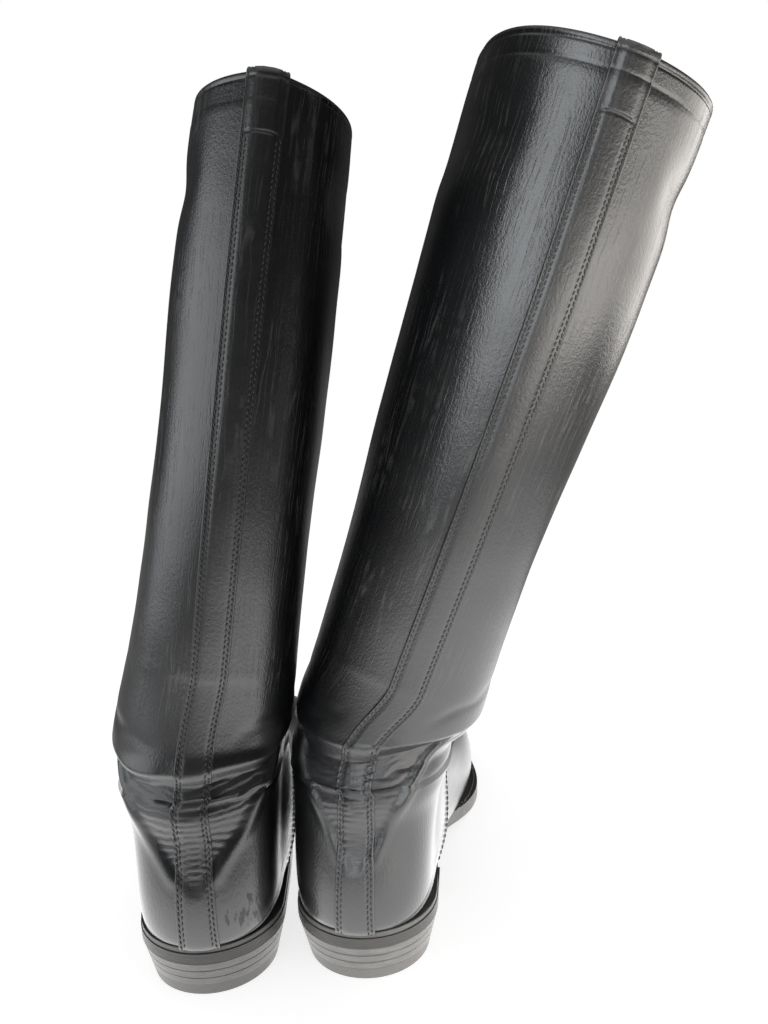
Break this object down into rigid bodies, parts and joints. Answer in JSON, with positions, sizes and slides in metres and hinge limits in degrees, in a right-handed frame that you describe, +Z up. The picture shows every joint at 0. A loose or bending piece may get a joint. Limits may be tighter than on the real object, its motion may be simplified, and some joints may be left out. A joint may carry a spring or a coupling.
{
  "type": "riding boots",
  "caption": "Pair of tall black leather pull-on riding boots: stacked heels, back strap sewn from heel to rim, leather lining, pull loops inside the top, legs leaning over creased ankles.",
  "frame": {"origin": "centre of the left boot's heel underside, on the floor", "axes": "+Z up; toes toward -Y; the wearer's left boot on the +X side of the pair"},
  "size_m": [0.3011, 0.3075, 0.4354],
  "materials": {
    "boot_leather": "polished",
    "strap_leather": "polished",
    "lining_leather": "matte",
    "facing_leather": "satin",
    "webbing": "matte",
    "top_piece_rubber": "matte",
    "stacked_leather": "satin",
    "edge_leather": "satin",
    "sole_leather": "satin",
    "insole_leather": "matte",
    "stiffener_board": "matte",
    "cork": "matte",
    "shank_steel": "satin",
    "nail_steel": "satin"
  },
  "bodies": {
    "left_foot": {"left_heel_top_piece": "top_piece_rubber", "left_heel_lift_1": "stacked_leather", "left_heel_lift_2": "stacked_leather", "left_heel_lift_3": "stacked_leather", "left_heel_nails": "nail_steel", "left_outsole": "sole_leather", "left_heel_rand": "edge_leather", "left_welt": "edge_leather", "left_bottom_filler": "cork", "left_shank": "shank_steel", "left_insole": "insole_leather", "left_sock_liner": "lining_leather", "left_quarter": "boot_leather", "left_vamp": "boot_leather", "left_heel_counter": "stiffener_board", "left_toe_puff": "stiffener_board", "left_foot_lining": "lining_leather", "left_heel_strap": "strap_leather"},
    "left_leg": {"left_leg_leather": "boot_leather", "left_leg_lining": "lining_leather", "left_top_facing": "facing_leather", "left_back_strap": "strap_leather"},
    "left_inner_loop": {"left_inner_pull_loop": "webbing"},
    "left_outer_loop": {"left_outer_pull_loop": "webbing"},
    "right_foot": {"right_heel_top_piece": "top_piece_rubber", "right_heel_lift_1": "stacked_leather", "right_heel_lift_2": "stacked_leather", "right_heel_lift_3": "stacked_leather", "right_heel_nails": "nail_steel", "right_outsole": "sole_leather", "right_heel_rand": "edge_leather", "right_welt": "edge_leather", "right_bottom_filler": "cork", "right_shank": "shank_steel", "right_insole": "insole_leather", "right_sock_liner": "lining_leather", "right_quarter": "boot_leather", "right_vamp": "boot_leather", "right_heel_counter": "stiffener_board", "right_toe_puff": "stiffener_board", "right_foot_lining": "lining_leather", "right_heel_strap": "strap_leather"},
    "right_leg": {"right_leg_leather": "boot_leather", "right_leg_lining": "lining_leather", "right_top_facing": "facing_leather", "right_back_strap": "strap_leather"},
    "right_inner_loop": {"right_inner_pull_loop": "webbing"},
    "right_outer_loop": {"right_outer_pull_loop": "webbing"}
  },
  "joints": [
    {"name": "right_boot_slide", "type": "slide", "parent": "left_foot", "child": "right_foot", "axis": [-1, 0, 0], "range_m": [0, 0.2]},
    {"name": "left_ankle_flex", "type": "hinge", "parent": "left_foot", "child": "left_leg", "pos_m": [0, -0.03, 0.105], "axis": [1, 0, 0], "range_deg": [-10, 15], "stiffness_Nm_per_rad": 8},
    {"name": "right_ankle_flex", "type": "hinge", "parent": "right_foot", "child": "right_leg", "pos_m": [-0.08269, -0.03463, 0.105], "axis": [0.9877, -0.1564, 0], "range_deg": [-10, 15], "stiffness_Nm_per_rad": 8},
    {"name": "left_inner_loop_swing", "type": "hinge", "parent": "left_leg", "child": "left_inner_loop", "pos_m": [-0.07359, -0.07431, 0.39183], "axis": [0.0689, -0.9904, -0.1196], "range_deg": [0, 165]},
    {"name": "left_outer_loop_swing", "type": "hinge", "parent": "left_leg", "child": "left_outer_loop", "pos_m": [-0.01697, -0.07148, 0.40104], "axis": [-0.0689, 0.9904, 0.1196], "range_deg": [0, 165]},
    {"name": "right_inner_loop_swing", "type": "hinge", "parent": "right_leg", "child": "right_inner_loop", "pos_m": [-0.15367, -0.0256, 0.41806], "axis": [-0.0631, 0.9964, -0.0574], "range_deg": [0, 165]},
    {"name": "right_outer_loop_swing", "type": "hinge", "parent": "right_leg", "child": "right_outer_loop", "pos_m": [-0.23665, -0.03266, 0.38681], "axis": [0.0631, -0.9964, 0.0574], "range_deg": [0, 165]}
  ]
}
